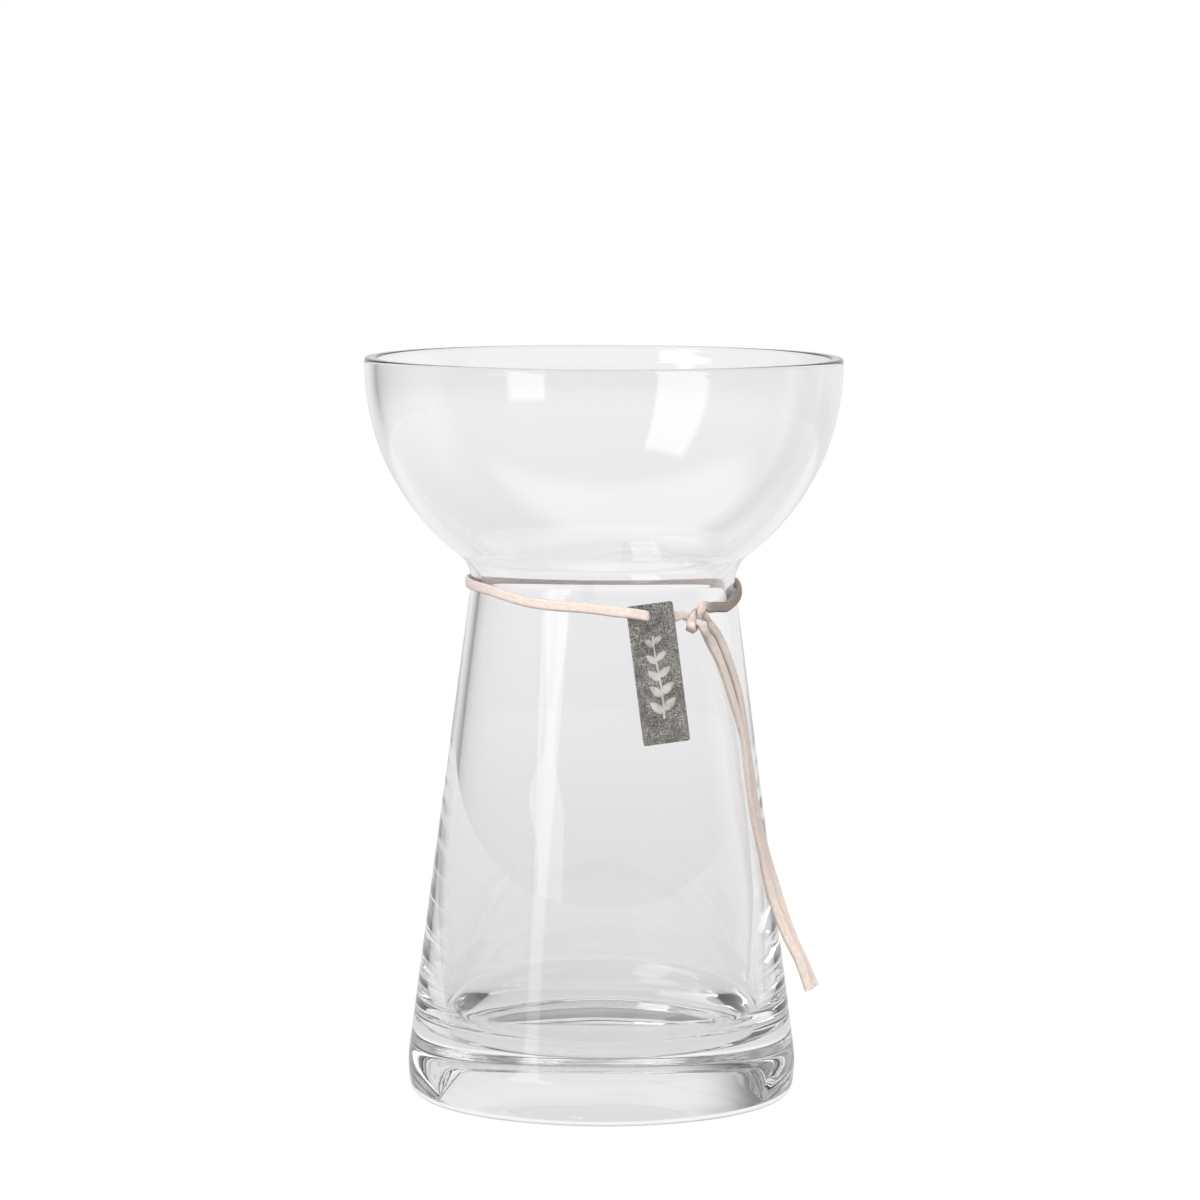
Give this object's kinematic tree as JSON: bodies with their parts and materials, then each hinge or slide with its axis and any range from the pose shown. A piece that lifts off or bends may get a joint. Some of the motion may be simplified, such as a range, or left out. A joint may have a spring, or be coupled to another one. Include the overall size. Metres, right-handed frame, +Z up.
{
  "type": "glass vase",
  "caption": "Clear glass vase with a half-round bowl, a waisted neck and a heavy flared foot; a suede lace with a small metal tag is knotted round the neck.",
  "frame": {"origin": "centre of the flat resting face under the foot, on the vase's axis", "axes": "+Z up along the vase's axis, -Y towards the front where the tag hangs, +X to the right"},
  "size_m": [0.1392, 0.1392, 0.216],
  "materials": {
    "glass": "polished, clear and nearly colourless",
    "suede": "soft napped suede, pale sand with darker cut edges",
    "pewter": "dark antiqued pewter, hammered, worn bright on its high places"
  },
  "bodies": {
    "vase": {"vase": "glass"},
    "lace": {"lace_loop": "suede", "lace_knot": "suede", "lace_tail_left": "suede", "lace_tail_right": "suede"},
    "tag": {"tag": "pewter"}
  },
  "joints": [
    {"name": "collar_turn", "type": "hinge", "parent": "vase", "child": "lace", "pos_m": [0, 0, 0.1475], "axis": [0, 0, 1], "continuous": true},
    {"name": "tag_swing", "type": "hinge", "parent": "lace", "child": "tag", "pos_m": [0.01352, -0.03925, 0.14428], "axis": [0.1624, -0.9808, 0.108], "range_deg": [-30, 20]}
  ]
}
